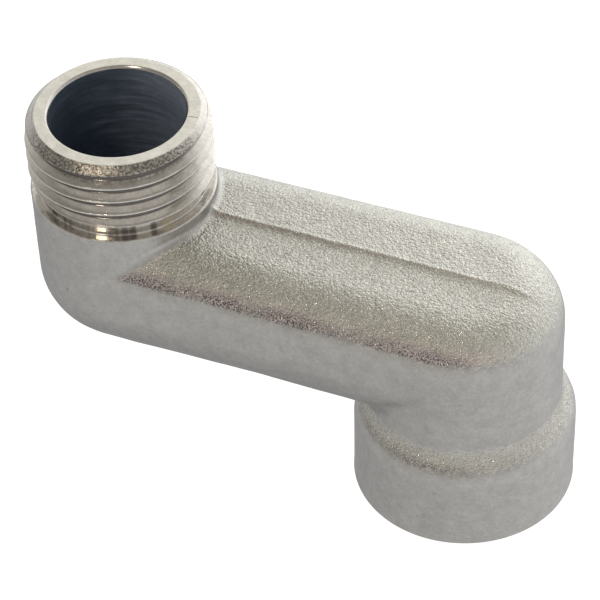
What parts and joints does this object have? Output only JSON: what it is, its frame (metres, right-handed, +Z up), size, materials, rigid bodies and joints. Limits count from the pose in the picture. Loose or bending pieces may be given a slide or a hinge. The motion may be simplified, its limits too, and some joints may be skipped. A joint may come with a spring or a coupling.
{
  "type": "eccentric radiator fitting",
  "caption": "Cranked pipe fitting: a short threaded spigot and an internally threaded socket on parallel axes, joined by a hollow rounded arm.",
  "frame": {"origin": "centre of the socket's mouth, in the plane of its end face", "axes": "+Z up along both thread axes, from the socket's mouth towards the spigot's end; +X from the spigot's axis towards the socket's axis; +Y towards the rear mould half"},
  "size_m": [0.0629, 0.025, 0.0405],
  "materials": {
    "plated_brass": "nickel plated: blasted casting skin, linished sides, turned ends"
  },
  "bodies": {
    "root": {"fitting_body": "plated_brass"}
  },
  "joints": []
}
